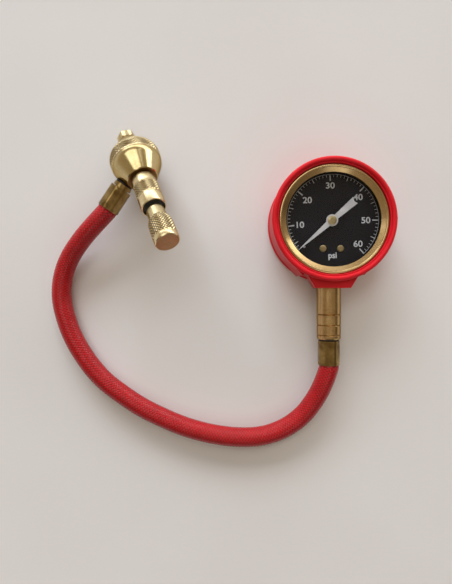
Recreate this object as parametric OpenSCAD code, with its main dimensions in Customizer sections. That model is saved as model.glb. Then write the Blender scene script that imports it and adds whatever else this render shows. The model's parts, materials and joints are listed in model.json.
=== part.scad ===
// Tyre deflator with gauge: a pressure head that takes the valve core out of a tyre valve,
// a braided hose, and a bourdon-tube gauge in a rubber boot. Millimetres.
// The gauge lies on its back: the origin is the centre of the boot's back, +Z is the way
// the dial faces, +Y is 12 o'clock and the stem leaves towards -Y.

/* [Gauge] */
// Radius of the rubber boot at its front bead
boot_r = 38.3; // [38:0.1:38.6]
// Depth of the boot over its front bead
boot_depth = 32.4; // [31.8:0.1:33.5]
// Outer radius of the bezel ring
bezel_r = 34; // [33.8:0.1:34.2]
// Radius of the dial that shows inside the bezel
window_r = 29.2; // [28.5:0.1:29.5]
// Outer radius of the gauge case
case_r = 33; // [32.9:0.05:33.1]
// Height of the stem axis above the boot's back
stem_z = 14.5; // [14:0.1:15]
// Height of the dial's face
dial_z = 22.6; // [22.4:0.1:22.8]
// Centreline radius of the bourdon tube
tube_r = 24.5; // [24:0.1:25]
// Angle that the bourdon tube goes round, in degrees
tube_arc = 267; // [262:1:270]

/* [Movement] */
// Module of the gear teeth
gear_m = 0.36; // [0.34:0.01:0.37]
// Teeth on the pinion
pinion_teeth = 10; // [10:1:10]
// Teeth that a full circle of the sector would have
sector_teeth = 80; // [80:1:80]
// Thickness taken off each tooth for backlash
backlash = 0.04; // [0.03:0.01:0.06]
// Angle of the pointer at rest on its stop pin, anticlockwise from 3 o'clock
rest_angle = 221.4; // [220:0.1:223]

/* [Stem and hose] */
// Diameter of the grooved adapter
adapter_d = 15.2; // [15:0.1:15.6]
// Diameter of both crimped ferrules
ferrule_d = 13.9; // [13.7:0.1:14.2]
// Diameter of the braided hose
hose_d = 12.6; // [12.4:0.1:12.6]
// Length of each ferrule
ferrule_len = 15.5; // [15:0.1:16.5]

/* [Pressure head] */
// Place of the centre of the nut's open end
head_pos = [-133.2, 59.1, 4.6];
// Compass heading of the head's axis, from the nut to the knob
head_heading = -65.8; // [-67:0.1:-64]
// Rise of the head's axis above the table
head_tilt = 30; // [28:0.5:32]
// Across-flats size of the hexagonal nose
nose_af = 10.8; // [10.6:0.1:11]
// Radius of the tyre valve's thread bore, at the thread crests
valve_thread_r = 3.5; // [3.45:0.01:3.55]
// Largest radius of the swivel nut
nut_r = 16.1; // [16:0.1:16.6]
// Outer radius of the sliding sleeve
sleeve_r = 7.7; // [7.6:0.05:7.8]
// Travel of the core tool outwards, until its ring meets the stop
tool_out = 21; // [18:0.5:22]
// Largest radius of the knob
knob_r = 7.5; // [7.3:0.1:7.7]

/* [Hidden] */
$fn = 72;

// Play between a turning shaft and its hole, on the radius
run_fit = 0.05;

// Gauge case, dial and glass, as heights above the boot's back
boot_floor = 3;
boot_wall_r = boot_r - 0.9;
boot_bead_r = 1.65;
boot_lip_r = 0.5;
// Gap between the bezel's skirt and the boot's seat, on the radius
boot_seat_gap = 0.06;
case_wall = 0.9;
case_rim_z = 25.2;
gasket_t = 1;
lens_t = 2;
lens_z = case_rim_z + gasket_t;
lens_r = 31.8;
dial_t = 0.6;
bezel_skirt_z = 21.4;
bezel_lip_z = lens_z + lens_t;
collar_back_z = 4;
collar_front_z = 27.5;
collar_root_y = 33.5;
collar_end_y = 42.3;
// Half widths of the collar at its front, where it leaves the boot and at its end
collar_root_w = 16.4;
collar_end_w = 10.9;
// How much narrower, on each side, the collar is at its back
collar_draft = 2.8;
// Ears on both sides of the collar, which run out into the wall, and the slots between
ear_angle = 29.4;
ear_root_angle = 46;
ear_r = 0.8;
ear_reach = 39.2;
ear_back_z = 2;
slot_angle = 27.2;
slot_w = 1.4;
slot_r = 36;
// Ridge that the mould's parting line leaves across the bead
flash_angle = 0.8;
flash_h = 0.12;
stem_collar_r = 6.5;
stem_hole_r = 6.6;

// Movement, as heights above the boot's back
back_plate_z = 10.8;
plate_t = 1;
pillar_len = 5.6;
front_plate_z = back_plate_z + plate_t + pillar_len;
gear_z = 13.2;
gear_t = 1.4;
link_z = 15;
link_t = 0.6;
spring_z = 15.9;
arbor_r = 0.8;
pointer_z = 23.8;
pivot_r = 0.6;
link_pin_r = 0.6;
// Clearance of the link's open eye, which stands in for the closed linkage
open_eye_r = 0.85;
pinion_pitch_r = gear_m * pinion_teeth / 2;
sector_pitch_r = gear_m * sector_teeth / 2;
addendum = 0.6 * gear_m;
dedendum = 0.9 * gear_m;
pressure_angle = 20;
sector_pos = [0, -(pinion_pitch_r + sector_pitch_r)];
tail_len = 6.5;
tail_angle = -67;
tip_pin_r = 21;
tip_pin_angle = -21.5;
tip_pin_pos = tip_pin_r * [cos(tip_pin_angle), sin(tip_pin_angle)];
tail_pin_pos = sector_pos + tail_len * [cos(tail_angle), sin(tail_angle)];
pillar_places = [[-9, -12], [9, -12], [0, 9.5]];
dial_screw_places = [[-5.5, -17.5], [5.5, -17.5]];
movement_screw_places = [[-4.8, -18.2], [5, -13.2]];
case_screw_places = [[-4.5, -28], [4.5, -28]];

// Bourdon tube
tube_start = -15;
tube_w = 2.2;
tube_h = 9;
tube_wall = 0.4;
tube_z = 13.5;

// Stem, adapter and hose ends, as distances from the gauge's centre
stem_thread_r = 4.9;
stem_thread_end = 53.5;
adapter_start = collar_end_y;
adapter_end = 75.2;
adapter_grooves = [59.2, 66, 72.4];
barb_neck = 1;
gauge_neck_r = 5.5;
ferrule_floor = 1.2;
spigot_r = 4;
barb_r = 3.6;
hose_r = hose_d / 2;
hose_start = adapter_end + barb_neck + ferrule_floor;

// Places along the head's axis, from the open end of the nut
gasket_seat_s = 9.6;
cavity_s = 12;
spigot_s = 12.2;
nose_end_s = 5;
nut_flare_s = 18;
nut_dome_s = 25;
nut_back_s = 29.3;
swivel_oring_s = 18;
snap_ring_s = 25.7;
socket_end_s = 10.5;
grip_ring_s = 13.2;
rod_tip_s = 13.7;
rod_shoulder_s = 17.5;
seam_s = 29.5;
body_end_s = 43.2;
barrel_thread_s = 38.2;
sleeve_start_s = 44.4;
sleeve_step_s = 55.3;
sleeve_groove_s = 60.6;
sleeve_end_s = 68.7;
vent_s = 48.7;
sleeve_oring_places = [46, 53.2];
stop_ring_s = 62.5;
web_s = 58.8;
gland_seat_s = 59.8;
barrel_end_s = 66.3;
gland_end_s = 67.9;
knob_start_s = 71;
knob_flare_s = 77.4;
knob_end_s = 96.2;
knob_socket_depth = 10;

// Radii about the head's axis
nose_end_r = 5.04;
nut_flare_r = 12.6;
nut_roll_r = 8;
body_roll_r = 8;
snap_groove_r = 8.9;
cavity_r = 8.1;
spigot_body_r = 8;
passage_r = 3.2;
barrel_r = 6.4;
barrel_bore_r = 3.3;
sleeve_bore_r = 6.5;
sleeve_mouth_r = 6.95;
rod_r = 2.5;
rod_tip_r = 1.5;
gland_r = 4.5;
rod_oring_d = 1.95;
knob_neck_r = 5.6;
oring_d = 1.7;

// Hose port: where its axis meets the head's axis, and how it leaves
port_s = 29.3;
port_polar = 65;
port_azimuth = -70;
port_seat = 14.2;
port_thread_start = 10.3;
port_flange = 15.3;
port_ferrule = 18.3;

// Route of the free hose, laid along the table from the gauge's ferrule to the head's
hose_bend_points = [
    [-1.8, -100, 13.7], [-5.2, -109, 11.8], [-10, -118, 9.8], [-17, -127, 8], [-28, -135, 7],
    [-42, -140, 6.5], [-58, -141, 6.4], [-75, -139, 6.4], [-92, -134.6, 6.4],
    [-107, -128.6, 6.4], [-122, -121.2, 6.4], [-136, -112, 6.4], [-148, -102.4, 6.4],
    [-158.5, -90, 6.4], [-167.5, -75, 6.4], [-173, -60, 6.4], [-175.3, -47, 6.5],
    [-173.8, -34, 7.3], [-168.7, -22, 9.2], [-160.3, -11, 12.4], [-151.9, -2.5, 15.4]];
hose_sides = 12;
hose_rings_per_span = 2;

// ---- Helpers ----

module turned(profile) {
    rotate_extrude() polygon(profile);
}

module ring(r_in, r_out, h) {
    difference() {
        cylinder(r = r_out, h = h);
        translate([0, 0, -1]) cylinder(r = r_in, h = h + 2);
    }
}

module oring(r_in, d) {
    rotate_extrude() translate([r_in + d / 2, 0]) circle(d = d, $fn = 24);
}

// Stem frame: local +Z runs out along the stem, local +Y points at the viewer
module at_stem() {
    translate([0, 0, stem_z]) rotate([90, 0, 0]) children();
}

// Head frame: local +Z runs from the nut to the knob
module at_head(s = 0) {
    translate(head_pos) rotate([0, 90 - head_tilt, head_heading]) translate([0, 0, s]) children();
}

// Port frame: local +Z runs out of the hose port
module at_port(d = 0) {
    at_head(port_s) rotate([0, port_polar, port_azimuth]) translate([0, 0, d]) children();
}

// ---- Gear teeth ----

function involute_angle(a) = tan(a) * 180 / PI - a;

// Half the angle that a tooth takes at radius r
function half_tooth(teeth, r) =
    let (pitch_r = gear_m * teeth / 2, base_r = pitch_r * cos(pressure_angle),
         at = acos(min(1, base_r / max(r, base_r))))
    90 / teeth - backlash / 2 / pitch_r * 180 / PI
        + involute_angle(pressure_angle) - involute_angle(at);

function polar(r, a) = r * [cos(a), sin(a)];

// Outline of one tooth about angle a, clockwise flank first
function tooth(teeth, a) =
    let (pitch_r = gear_m * teeth / 2, root = pitch_r - dedendum, tip = pitch_r + addendum,
         steps = 4, radii = [for (i = [0:steps]) root + (tip - root) * i / steps])
    concat([for (r = radii) polar(r, a - half_tooth(teeth, r))],
           [for (i = [steps:-1:0]) polar(radii[i], a + half_tooth(teeth, radii[i]))]);

module pinion_outline() {
    pitch = 360 / pinion_teeth;
    polygon([for (i = [0:pinion_teeth - 1]) each tooth(pinion_teeth, -90 + pitch * (i + 0.5))]);
}

// Toothed fan about the sector's pivot, in the rest pose
module sector_outline() {
    pitch = 360 / sector_teeth;
    polygon(concat([[0, 0]], [for (i = [-9:2]) each tooth(sector_teeth, 90 + pitch * i)]));
}

// ---- Boot, case and glass ----

// Wall with a lip at the back, and at the front a bead and a thin inner lip
module boot_section() {
    seat_r = bezel_r + boot_seat_gap;
    shoulder_z = boot_depth - boot_bead_r;
    difference() {
        union() {
            polygon([[0, 0], [boot_r - 1, 0], [boot_r - 0.2, 0.8], [boot_r - 0.2, 3.4],
                [boot_wall_r, 5], [boot_wall_r, shoulder_z], [0, shoulder_z]]);
            translate([boot_r - boot_bead_r, shoulder_z]) circle(r = boot_bead_r);
            translate([seat_r + boot_lip_r, shoulder_z]) circle(r = boot_lip_r);
        }
        translate([0, boot_floor]) square([case_r, boot_depth]);
        translate([0, bezel_skirt_z]) square([seat_r, boot_depth]);
    }
}

// Skirt round the stem: wide where it meets the boot, narrow at its end, and drafted to the back
module boot_collar_slice(z, draft) {
    root = collar_root_w - draft;
    end = collar_end_w - draft;
    translate([0, 0, z]) linear_extrude(height = 0.1)
        polygon([[-root, 2 - collar_root_y], [root, 2 - collar_root_y], [root, -collar_root_y],
            [end, -collar_end_y], [-end, -collar_end_y], [-root, -collar_root_y]]);
}

module boot_collar() {
    hull() {
        boot_collar_slice(collar_back_z, collar_draft);
        boot_collar_slice(collar_front_z - 0.1, 0);
    }
}

function from_stem(r, a) = r * [sin(a), -cos(a)];

// Ear beside the collar, on the side that the sign gives
module boot_ear(side) {
    translate([0, 0, ear_back_z]) linear_extrude(height = collar_front_z - ear_back_z) {
        translate(from_stem(ear_reach - ear_r, side * ear_angle)) circle(r = ear_r);
        polygon([from_stem(ear_reach, side * ear_angle),
            from_stem(boot_wall_r, side * ear_root_angle),
            from_stem(boot_wall_r - 2, side * ear_root_angle),
            from_stem(boot_wall_r - 2, side * ear_angle)]);
    }
}

// Slot between the collar and its ear, which lets the rubber open when it is pulled on
module boot_slot(side) {
    rotate([0, 0, side * slot_angle - 90]) translate([slot_r, -slot_w / 2, -1])
        cube([5, slot_w, collar_front_z + 2]);
}

module boot_flash() {
    rotate_extrude(angle = flash_angle)
        translate([boot_r - boot_bead_r, boot_depth - boot_bead_r]) circle(r = boot_bead_r + flash_h);
}

module boot() {
    color("crimson") difference() {
        union() {
            rotate_extrude($fn = 120) boot_section();
            difference() {
                union() {
                    boot_collar();
                    for (side = [-1, 1]) boot_ear(side);
                }
                cylinder(r = bezel_r + 0.5, h = boot_depth);
            }
            for (side = [0, 180]) rotate([0, 0, side]) boot_flash();
        }
        for (side = [-1, 1]) boot_slot(side);
        at_stem() cylinder(r = stem_hole_r, h = 60);
    }
}

module case() {
    inner_r = case_r - case_wall;
    color("burlywood") difference() {
        turned([[0, boot_floor], [case_r - 1.2, boot_floor], [case_r, boot_floor + 1.2],
            [case_r, case_rim_z], [inner_r, case_rim_z], [inner_r, boot_floor + 1.5],
            [inner_r - 0.5, boot_floor + 1], [0, boot_floor + 1]]);
        at_stem() translate([0, 0, 20]) cylinder(r = stem_hole_r, h = 20);
        for (p = case_screw_places)
            translate([p[0], p[1], boot_floor - 1]) cylinder(r = 2.3, h = 4);
    }
}

module case_screws() {
    color("silver") for (p = case_screw_places)
        translate([p[0], p[1], boot_floor]) difference() {
            union() {
                cylinder(r = 2.2, h = 1);
                cylinder(r = 1.2, h = 6);
            }
            translate([-3, -0.25, -1]) cube([6, 0.5, 1.5]);
        }
}

module bezel() {
    top_z = bezel_lip_z + 2.6;
    color("goldenrod") rotate_extrude($fn = 120) difference() {
        union() {
            polygon([[case_r, bezel_skirt_z], [bezel_r, bezel_skirt_z], [bezel_r, top_z - 1.2],
                [bezel_r - 1.2, top_z], [window_r, bezel_lip_z + 0.6], [window_r, bezel_lip_z],
                [lens_r, bezel_lip_z], [lens_r, lens_z], [case_r, lens_z]]);
            translate([bezel_r - 1.2, top_z - 1.2]) circle(r = 1.2);
        }
        square([window_r, 40]);
    }
}

module lens() {
    color("azure", 0.3) translate([0, 0, lens_z]) cylinder(r = lens_r, h = lens_t, $fn = 120);
}

module lens_gasket() {
    color("dimgray") translate([0, 0, case_rim_z]) ring(31, case_r, gasket_t);
}

module dial() {
    color("black") translate([0, 0, dial_z - dial_t]) difference() {
        cylinder(r = 30.5, h = dial_t, $fn = 120);
        translate([0, 0, -1]) cylinder(r = 2.6, h = 3);
        for (p = dial_screw_places)
            translate([p[0], p[1], -1]) cylinder(r = 1.3, h = 3);
        translate(concat(stop_pin_pos, [-1])) cylinder(r = stop_pin_r, h = 3);
    }
}

module dial_spacers() {
    z = front_plate_z + plate_t;
    color("goldenrod") for (p = dial_screw_places)
        translate([p[0], p[1], z]) ring(1.2, 2.2, dial_z - dial_t - z);
}

module dial_screws() {
    color("gold") for (p = dial_screw_places)
        translate([p[0], p[1], 0]) difference() {
            union() {
                translate([0, 0, dial_z]) cylinder(r = 2.1, h = 0.6);
                translate([0, 0, dial_z + 0.6]) cylinder(r1 = 2.1, r2 = 1.5, h = 0.4);
                translate([0, 0, front_plate_z]) cylinder(r = 1.2, h = dial_z - front_plate_z);
            }
            translate([-3, -0.25, dial_z + 0.6]) cube([6, 0.5, 1]);
        }
}

// The pin stands where the pointer's anticlockwise edge meets it
stop_pin_r = 0.6;
stop_pin_pos = polar(24, rest_angle + 2.45);

module stop_pin() {
    color("silver") translate(concat(stop_pin_pos, [dial_z - dial_t - 1])) {
        cylinder(r = 1, h = 1);
        cylinder(r = stop_pin_r, h = 3.5);
    }
}

// ---- Pointer and movement ----

// Pointer along local +X: a fine tip, and a tail that widens to a notched end
module pointer() {
    color("gainsboro") translate([0, 0, pointer_z]) rotate([0, 0, rest_angle]) difference() {
        linear_extrude(height = 0.5) {
            polygon([[0, -1.9], [26, -0.25], [26.6, 0], [26, 0.25], [0, 1.9]]);
            polygon([[0, -1.4], [0, 1.4], [-19, 2.6], [-18.2, 0.1], [-19.6, -2.3]]);
            circle(r = 3.7);
        }
        translate([0, 0, -1]) cylinder(r = 1.4, h = 3);
    }
}

module pointer_hub() {
    color("gold") translate([0, 0, pointer_z - 0.5]) difference() {
        union() {
            cylinder(r = 2.4, h = 0.5);
            cylinder(r = 1.4, h = 1.4);
            translate([0, 0, 1]) cylinder(r = 2.8, h = 0.5);
            translate([0, 0, 1.5]) cylinder(r1 = 2.8, r2 = 1.6, h = 0.4);
        }
        translate([0, 0, -1]) cylinder(r = arbor_r, h = 2.7);
    }
}

module pinion_arbor() {
    color("goldenrod") {
        translate([0, 0, back_plate_z]) cylinder(r = pivot_r, h = plate_t + 0.1);
        translate([0, 0, back_plate_z + plate_t + 0.1])
            cylinder(r = arbor_r, h = pointer_z + 0.6 - back_plate_z - plate_t - 0.1);
        translate([0, 0, gear_z - 0.2]) linear_extrude(height = gear_t + 0.4) pinion_outline();
        translate([0, 0, spring_z - 0.2]) cylinder(r = 1.5, h = 1.1);
    }
}

module sector_gear() {
    arc_mid = 90 + 360 / sector_teeth * -3.5;
    color("goldenrod") translate(concat(sector_pos, [gear_z])) difference() {
        linear_extrude(height = gear_t) {
            sector_outline();
            circle(r = 2.6);
            rotate([0, 0, tail_angle]) translate([0, -1.2]) square([tail_len, 2.4]);
            rotate([0, 0, tail_angle]) translate([tail_len, 0]) circle(r = 1.4);
        }
        translate([0, 0, -1]) linear_extrude(height = gear_t + 2) {
            circle(r = 1);
            // Window that lightens the fan
            rotate([0, 0, arc_mid])
                polygon([[5.2, -1.2], [11.8, -3.4], [12.3, 0], [11.8, 3.4], [5.2, 1.2]]);
        }
        rotate([0, 0, tail_angle]) translate([tail_len, 0, -1]) cylinder(r = link_pin_r, h = 5);
    }
}

module sector_shaft() {
    len = pillar_len - 0.2;
    color("silver") translate(concat(sector_pos, [back_plate_z])) {
        cylinder(r = pivot_r, h = front_plate_z + plate_t - back_plate_z);
        translate([0, 0, plate_t + 0.1]) cylinder(r = 1, h = len);
    }
}

module link_pin(base_z) {
    translate([0, 0, base_z]) cylinder(r = link_pin_r, h = link_z + link_t + 0.1 - base_z);
    translate([0, 0, link_z + link_t + 0.1]) cylinder(r = 1.2, h = 0.4);
}

module sector_link_pin() {
    color("silver") translate(concat(tail_pin_pos, [0])) link_pin(gear_z);
}

module tip_link_pin() {
    color("silver") translate(concat(tip_pin_pos, [0])) link_pin(gear_z);
}

module link() {
    run = tip_pin_pos - tail_pin_pos;
    span = norm(run);
    color("goldenrod") translate(concat(tail_pin_pos, [link_z]))
        rotate([0, 0, atan2(run[1], run[0])]) difference() {
            linear_extrude(height = link_t) {
                circle(r = 1.6);
                translate([span, 0]) circle(r = 1.3);
                translate([0, -0.7]) square([span, 1.4]);
            }
            translate([0, 0, -1]) cylinder(r = open_eye_r, h = 3);
            translate([span, 0, -1]) cylinder(r = link_pin_r + run_fit, h = 3);
        }
}

module tube_section(w, h) {
    translate([tube_r - w / 2, tube_z - (h - w) / 2]) square([w, h - w]);
    for (side = [-1, 1])
        translate([tube_r, tube_z + side * (h - w) / 2]) circle(d = w, $fn = 24);
}

// C-shaped tube, from its tip at 4 o'clock round to the socket at 7 o'clock
module bourdon_tube() {
    color("darkgoldenrod") rotate([0, 0, tube_start]) rotate_extrude(angle = tube_arc) difference() {
        tube_section(tube_w, tube_h);
        tube_section(tube_w - 2 * tube_wall, tube_h - 2 * tube_wall);
    }
}

// Cap brazed on the free end of the tube, with the lug that the link hangs on
module tube_tip() {
    cap_arc = 5;
    color("goldenrod") difference() {
        union() {
            rotate([0, 0, tube_start - cap_arc]) rotate_extrude(angle = cap_arc)
                translate([tube_r - 1.6, tube_z - 5]) square([3.2, 10]);
            translate([0, 0, gear_z]) linear_extrude(height = gear_t) {
                translate(tip_pin_pos) circle(r = 1.5);
                rotate([0, 0, tip_pin_angle]) translate([tip_pin_r, -1.5]) square([3.2, 3]);
            }
        }
        translate(concat(tip_pin_pos, [gear_z - 1])) cylinder(r = link_pin_r, h = 4);
    }
}

// Flat spiral from the arbor's collet out to its stud
spring_r0 = 1.6;
spring_r1 = 5.2;
spring_turns = 4.5;
spring_end_angle = 150;
spring_t = 0.14;
spring_stud_r = 0.5;
spring_stud_pos = polar(spring_r1 + spring_t / 2 + spring_stud_r, spring_end_angle);

function spring_point(u, side) =
    polar(spring_r0 + (spring_r1 - spring_r0) * u + side * spring_t / 2,
        spring_end_angle - 360 * spring_turns * (1 - u));

module hairspring() {
    steps = 72;
    color("silver") translate([0, 0, spring_z]) linear_extrude(height = 0.7)
        polygon(concat([for (i = [0:steps]) spring_point(i / steps, 1)],
            [for (i = [steps:-1:0]) spring_point(i / steps, -1)]));
}

module spring_stud() {
    color("goldenrod") translate(concat(spring_stud_pos, [spring_z - 0.2]))
        cylinder(r = spring_stud_r, h = front_plate_z + plate_t - spring_z + 0.2);
}

module plate_outline() {
    polygon([[-11, -12], [-7, -20.6], [7, -20.6], [11, -12], [2, 11], [-2, 11]]);
    for (p = pillar_places) translate(p) circle(r = 2);
}

module plate(z, arbor_hole_r) {
    translate([0, 0, z]) difference() {
        linear_extrude(height = plate_t) plate_outline();
        translate([0, 0, -1]) cylinder(r = arbor_hole_r, h = 3);
        translate(concat(sector_pos, [-1])) cylinder(r = pivot_r + run_fit, h = 3);
        for (p = pillar_places) translate([p[0], p[1], -1]) cylinder(r = 0.9, h = 3);
        children();
    }
}

module back_plate() {
    color("goldenrod") plate(back_plate_z, pivot_r + run_fit)
        for (p = movement_screw_places) translate([p[0], p[1], -1]) cylinder(r = 1.2, h = 3);
}

module front_plate() {
    color("goldenrod") plate(front_plate_z, arbor_r + run_fit) {
        for (p = dial_screw_places) translate([p[0], p[1], -1]) cylinder(r = 1.2, h = 3);
        translate(concat(spring_stud_pos, [-1])) cylinder(r = spring_stud_r, h = 3);
    }
}

module plate_pillars() {
    color("goldenrod") for (p = pillar_places)
        translate([p[0], p[1], back_plate_z]) difference() {
            union() {
                cylinder(r = 0.9, h = plate_t);
                translate([0, 0, plate_t]) cylinder(r = 1.6, h = pillar_len);
            }
            translate([0, 0, plate_t + pillar_len - 3]) cylinder(r = 0.9, h = 4);
        }
}

module cheese_screw(head_r, head_h, shank_r, shank_len) {
    difference() {
        union() {
            cylinder(r = head_r, h = head_h);
            translate([0, 0, -shank_len]) cylinder(r = shank_r, h = shank_len);
        }
        translate([-head_r - 1, -0.25, head_h - 0.4]) cube([2 * head_r + 2, 0.5, 1]);
    }
}

module plate_screws() {
    color("silver") for (p = pillar_places)
        translate([p[0], p[1], front_plate_z + plate_t]) cheese_screw(1.7, 1, 0.9, 3.5);
}

module movement_screws() {
    color("silver") for (p = movement_screw_places)
        translate([p[0], p[1], back_plate_z + plate_t]) cheese_screw(2, 1, 1.2, 4.5);
}

// Brass socket: the stem outside, the block that the tube is brazed to, and the movement's pad
block_front_y = 25.2;
block_back_y = 30.4;
tube_seat_arc = 9;

module socket() {
    seat_z = boot_floor + 1;
    color("goldenrod") difference() {
        union() {
            at_stem() translate([0, 0, block_back_y])
                cylinder(r = stem_collar_r, h = collar_end_y - block_back_y);
            at_stem() translate([0, 0, block_back_y])
                cylinder(r = stem_thread_r, h = stem_thread_end - block_back_y);
            translate([-7, -block_back_y, seat_z]) cube([14, block_back_y - block_front_y, 17.4]);
            translate([-7, -block_front_y - 1, seat_z])
                cube([14, block_front_y - 9, back_plate_z - seat_z]);
            rotate([0, 0, tube_start + tube_arc]) rotate_extrude(angle = tube_seat_arc)
                translate([tube_r - 2.2, seat_z]) square([4.4, 15]);
        }
        // Air way from the stem to the mouth of the tube
        at_stem() translate([0, 0, 27]) cylinder(r = 1.25, h = 40);
        at_stem() translate([0, 0, 50]) cylinder(r = restrictor_r, h = 10);
        translate([0, -27.8, tube_z]) rotate([-90, 0, 59.3]) cylinder(r = 0.6, h = 8.8);
        for (p = case_screw_places) translate([p[0], p[1], 0]) cylinder(r = 1.2, h = boot_floor + 6);
        for (p = movement_screw_places)
            translate([p[0], p[1], back_plate_z + plate_t - 4.5]) cylinder(r = 1.2, h = 10);
    }
}

restrictor_r = 2.2;

module restrictor() {
    color("gold") at_stem() translate([0, 0, 50]) difference() {
        cylinder(r = restrictor_r, h = 3);
        translate([0, 0, -1]) cylinder(r = 0.4, h = 5);
        translate([-3, -0.3, 2.4]) cube([6, 0.6, 1]);
    }
}

// ---- Stem adapter, ferrules and hose ----

// Shallow vee groove cut round a turned part
module vee_groove(r, s) {
    translate([0, 0, s]) rotate_extrude()
        polygon([[r - 0.5, 0], [r + 0.5, -0.6], [r + 0.5, 1], [r, 0.5]]);
}

module gauge_adapter() {
    r = adapter_d / 2;
    color("goldenrod") at_stem() difference() {
        turned([[2, adapter_start], [r, adapter_start], [r, adapter_end - 1],
            [r - 0.6, adapter_end], [2, adapter_end]]);
        translate([0, 0, adapter_start - 1])
            cylinder(r = stem_thread_r, h = stem_thread_end + 1.5 - adapter_start);
        translate([0, 0, adapter_end - 9]) cylinder(r = spigot_r, h = 10);
        for (s = adapter_grooves) vee_groove(r, s);
    }
}

// Barbed hose end: local zero is the seat that it is screwed up to
module barb(thread_len, neck_r, neck_len) {
    difference() {
        union() {
            translate([0, 0, -thread_len]) cylinder(r = spigot_r, h = thread_len);
            cylinder(r = neck_r, h = neck_len);
            cylinder(r = barb_r, h = neck_len + ferrule_len - 1.5);
            for (i = [0:2])
                translate([0, 0, neck_len + 2.4 + 3.8 * i])
                    cylinder(r1 = barb_r + 0.6, r2 = barb_r, h = 3.4);
        }
        translate([0, 0, -thread_len - 1]) cylinder(r = 1.8, h = thread_len + ferrule_len + 12);
    }
}

// Crimped ferrule: round at both ends, with eight flats pressed in between
module ferrule() {
    r = ferrule_d / 2;
    crimp_r = (r - 0.25) / cos(22.5);
    difference() {
        union() {
            turned([[0, 0], [r - 0.7, 0], [r, 0.7], [r, 2.2], [0, 2.2]]);
            intersection() {
                cylinder(r = r, h = ferrule_len);
                rotate([0, 0, 22.5]) cylinder(r = crimp_r, h = ferrule_len, $fn = 8);
            }
            turned([[0, ferrule_len - 2], [r, ferrule_len - 2], [r, ferrule_len - 0.4],
                [r - 0.4, ferrule_len], [0, ferrule_len]]);
        }
        translate([0, 0, ferrule_floor]) cylinder(r = hose_r, h = ferrule_len);
        translate([0, 0, -1]) cylinder(r = barb_r, h = 5);
    }
}

module gauge_barb() {
    color("goldenrod") at_stem() translate([0, 0, adapter_end]) barb(8.5, gauge_neck_r, barb_neck);
}

module gauge_oring() {
    color("black") at_stem() translate([0, 0, adapter_end + barb_neck / 2])
        oring(gauge_neck_r, barb_neck);
}

module gauge_ferrule() {
    color("peru") at_stem() translate([0, 0, adapter_end + barb_neck]) ferrule();
}

module head_barb() {
    color("goldenrod") at_port() {
        translate([0, 0, port_seat]) barb(port_seat - port_thread_start, 4.4, port_ferrule - port_seat);
        translate([0, 0, port_flange]) ring(4, 5.8, port_ferrule - port_flange - 0.4);
    }
}

module head_ferrule() {
    color("peru") at_port(port_ferrule) ferrule();
}

module port_oring() {
    color("black") at_port((port_seat + port_flange) / 2) oring(4.4, port_flange - port_seat);
}

// Point at distance d along the port's axis, in the row frame
function turn_y(v, a) = [v[0] * cos(a) + v[2] * sin(a), v[1], v[2] * cos(a) - v[0] * sin(a)];
function turn_z(v, a) = [v[0] * cos(a) - v[1] * sin(a), v[0] * sin(a) + v[1] * cos(a), v[2]];
function head_point(v) = head_pos + turn_z(turn_y(v, 90 - head_tilt), head_heading);
function port_point(d) =
    head_point([0, 0, port_s] + turn_z(turn_y([0, 0, d], port_polar), port_azimuth));

// The hose runs straight inside both ferrules and a little beyond them
straight_beyond = 2;
gauge_end = adapter_end + barb_neck + ferrule_len;
head_end = port_ferrule + ferrule_len;
hose_route = concat(
    [[0, -hose_start, stem_z], [0, -gauge_end, stem_z], [0, -gauge_end - straight_beyond, stem_z]],
    hose_bend_points,
    [port_point(head_end + straight_beyond), port_point(head_end),
        port_point(port_ferrule + ferrule_floor)]);

// Smooth curve through the route's points
function curve_point(p, i, t) =
    let (a = p[max(i - 1, 0)], b = p[i], c = p[i + 1], d = p[min(i + 2, len(p) - 1)])
    0.5 * (2 * b + (c - a) * t + (2 * a - 5 * b + 4 * c - d) * t * t
        + (3 * b - a - 3 * c + d) * t * t * t);

hose_line = concat(
    [for (i = [0:len(hose_route) - 2], k = [0:hose_rings_per_span - 1])
        curve_point(hose_route, i, k / hose_rings_per_span)],
    [hose_route[len(hose_route) - 1]]);

function unit(v) = v / norm(v);
function along(p, i) = i == 0 ? unit(p[1] - p[0])
    : i == len(p) - 1 ? unit(p[i] - p[i - 1]) : unit(p[i + 1] - p[i - 1]);

// Ring of points square to the hose's line, with its first point level with the axis
function hose_ring(p, i) =
    let (t = along(p, i), side = unit(cross(t, [0, 0, 1])), up = cross(side, t))
    [for (k = [0:hose_sides - 1])
        p[i] + hose_r * (cos(360 * k / hose_sides) * side + sin(360 * k / hose_sides) * up)];

module hose() {
    rings = len(hose_line);
    n = hose_sides;
    points = [for (i = [0:rings - 1]) each hose_ring(hose_line, i)];
    walls = [for (i = [0:rings - 2], k = [0:n - 1])
        let (a = i * n + k, b = i * n + (k + 1) % n) each [[a, b, b + n], [a, b + n, a + n]]];
    caps = [[for (k = [n - 1:-1:0]) k], [for (k = [0:n - 1]) (rings - 1) * n + k]];
    color("firebrick") polyhedron(points = points, faces = concat(walls, caps));
}

// ---- Pressure head ----

module nut_profile() {
    polygon([[0, nose_end_s], [nose_end_r, nose_end_s], [nut_flare_r, nut_flare_s],
        [nut_r, nut_dome_s], [nut_r - 0.4, nut_back_s], [0, nut_back_s]]);
    intersection() {
        translate([nut_r - nut_roll_r, nut_dome_s]) circle(r = nut_roll_r);
        translate([0, 14]) square([20, 11]);
    }
}

module nose() {
    r = nose_af / 2 / cos(30);
    intersection() {
        rotate([0, 0, 30]) cylinder(r = r, h = 9, $fn = 6);
        turned([[0, 0], [r - 1.05, 0], [r, 1.1], [r, 9], [0, 9]]);
    }
}

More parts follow.
